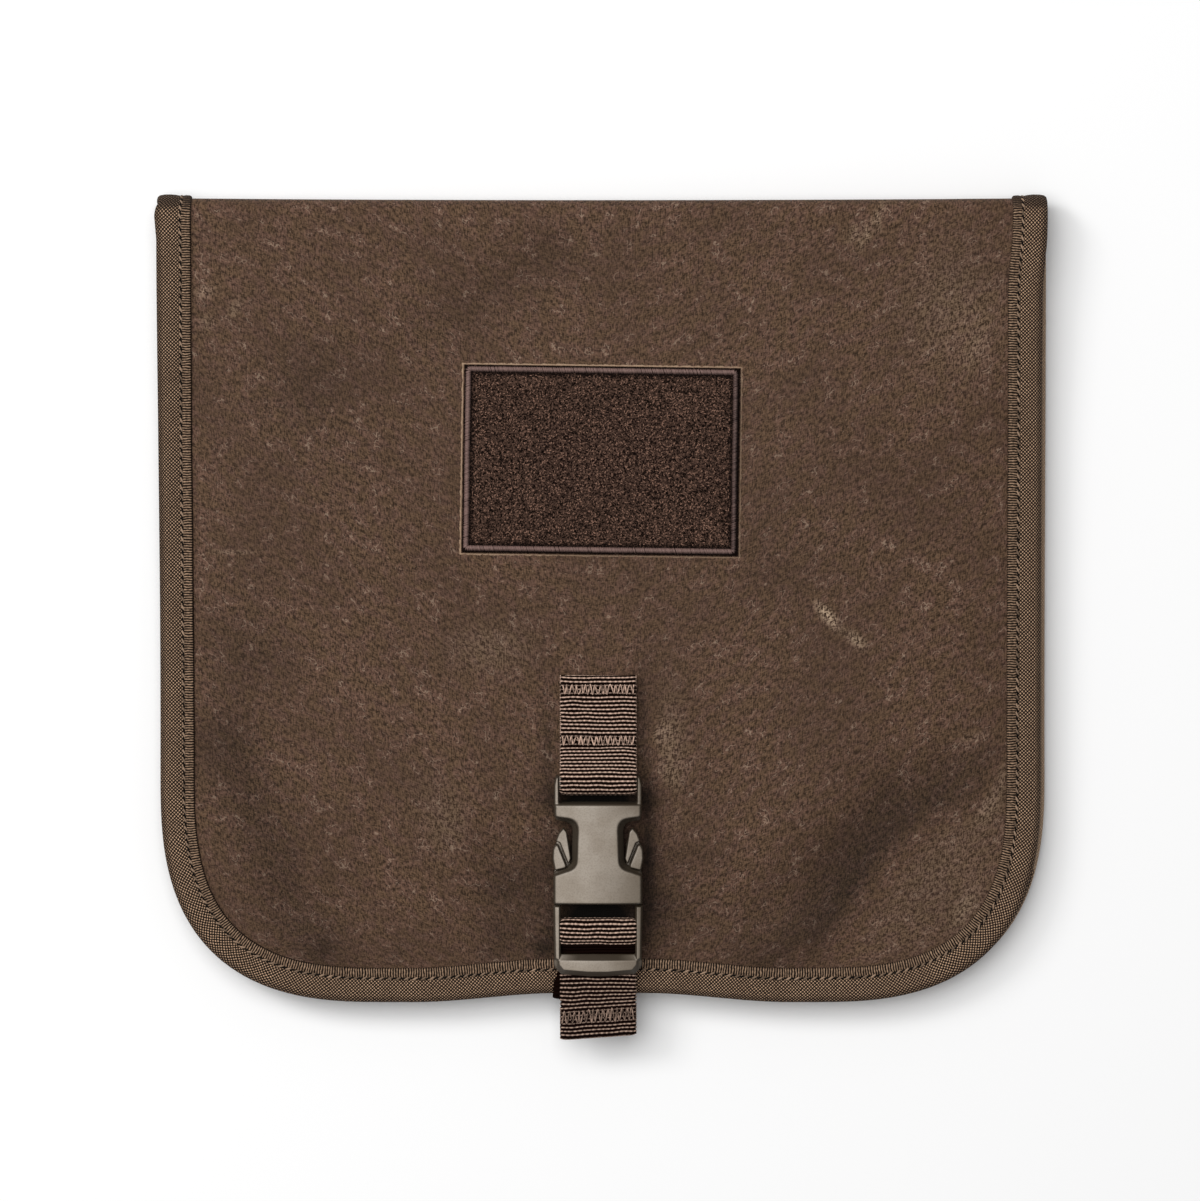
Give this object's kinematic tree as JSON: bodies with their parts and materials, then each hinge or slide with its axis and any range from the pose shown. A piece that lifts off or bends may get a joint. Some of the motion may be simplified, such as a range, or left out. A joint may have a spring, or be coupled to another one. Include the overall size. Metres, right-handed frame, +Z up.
{
  "type": "toiletry bag",
  "caption": "Flat waxed-canvas toiletry bag with a folded-over flap, taped edges, a bare piled patch and a side-release buckle on webbing, lying closed on its back.",
  "frame": {"origin": "centre of the bag's footprint, on the surface that it lies on", "axes": "+X to the right seen from above the flap, +Y towards the fold at the top of the bag, +Z up out of the flap"},
  "size_m": [0.2854, 0.2703, 0.0274],
  "materials": {
    "canvas": "waxed brown cotton canvas, mottled and scuffed",
    "tape": "matt brown woven binding tape",
    "pile": "dark brown short pile",
    "satin_thread": "dark brown satin stitch",
    "webbing": "ribbed brown nylon webbing",
    "buckle": "satin moulded grey-brown plastic"
  },
  "bodies": {
    "root": {"shell": "canvas", "pouch_panel": "canvas", "binding": "tape", "patch_field": "pile", "patch_border": "satin_thread", "upper_strap": "webbing", "lower_strap": "webbing", "buckle_female": "buckle", "buckle_male": "buckle"}
  },
  "joints": []
}
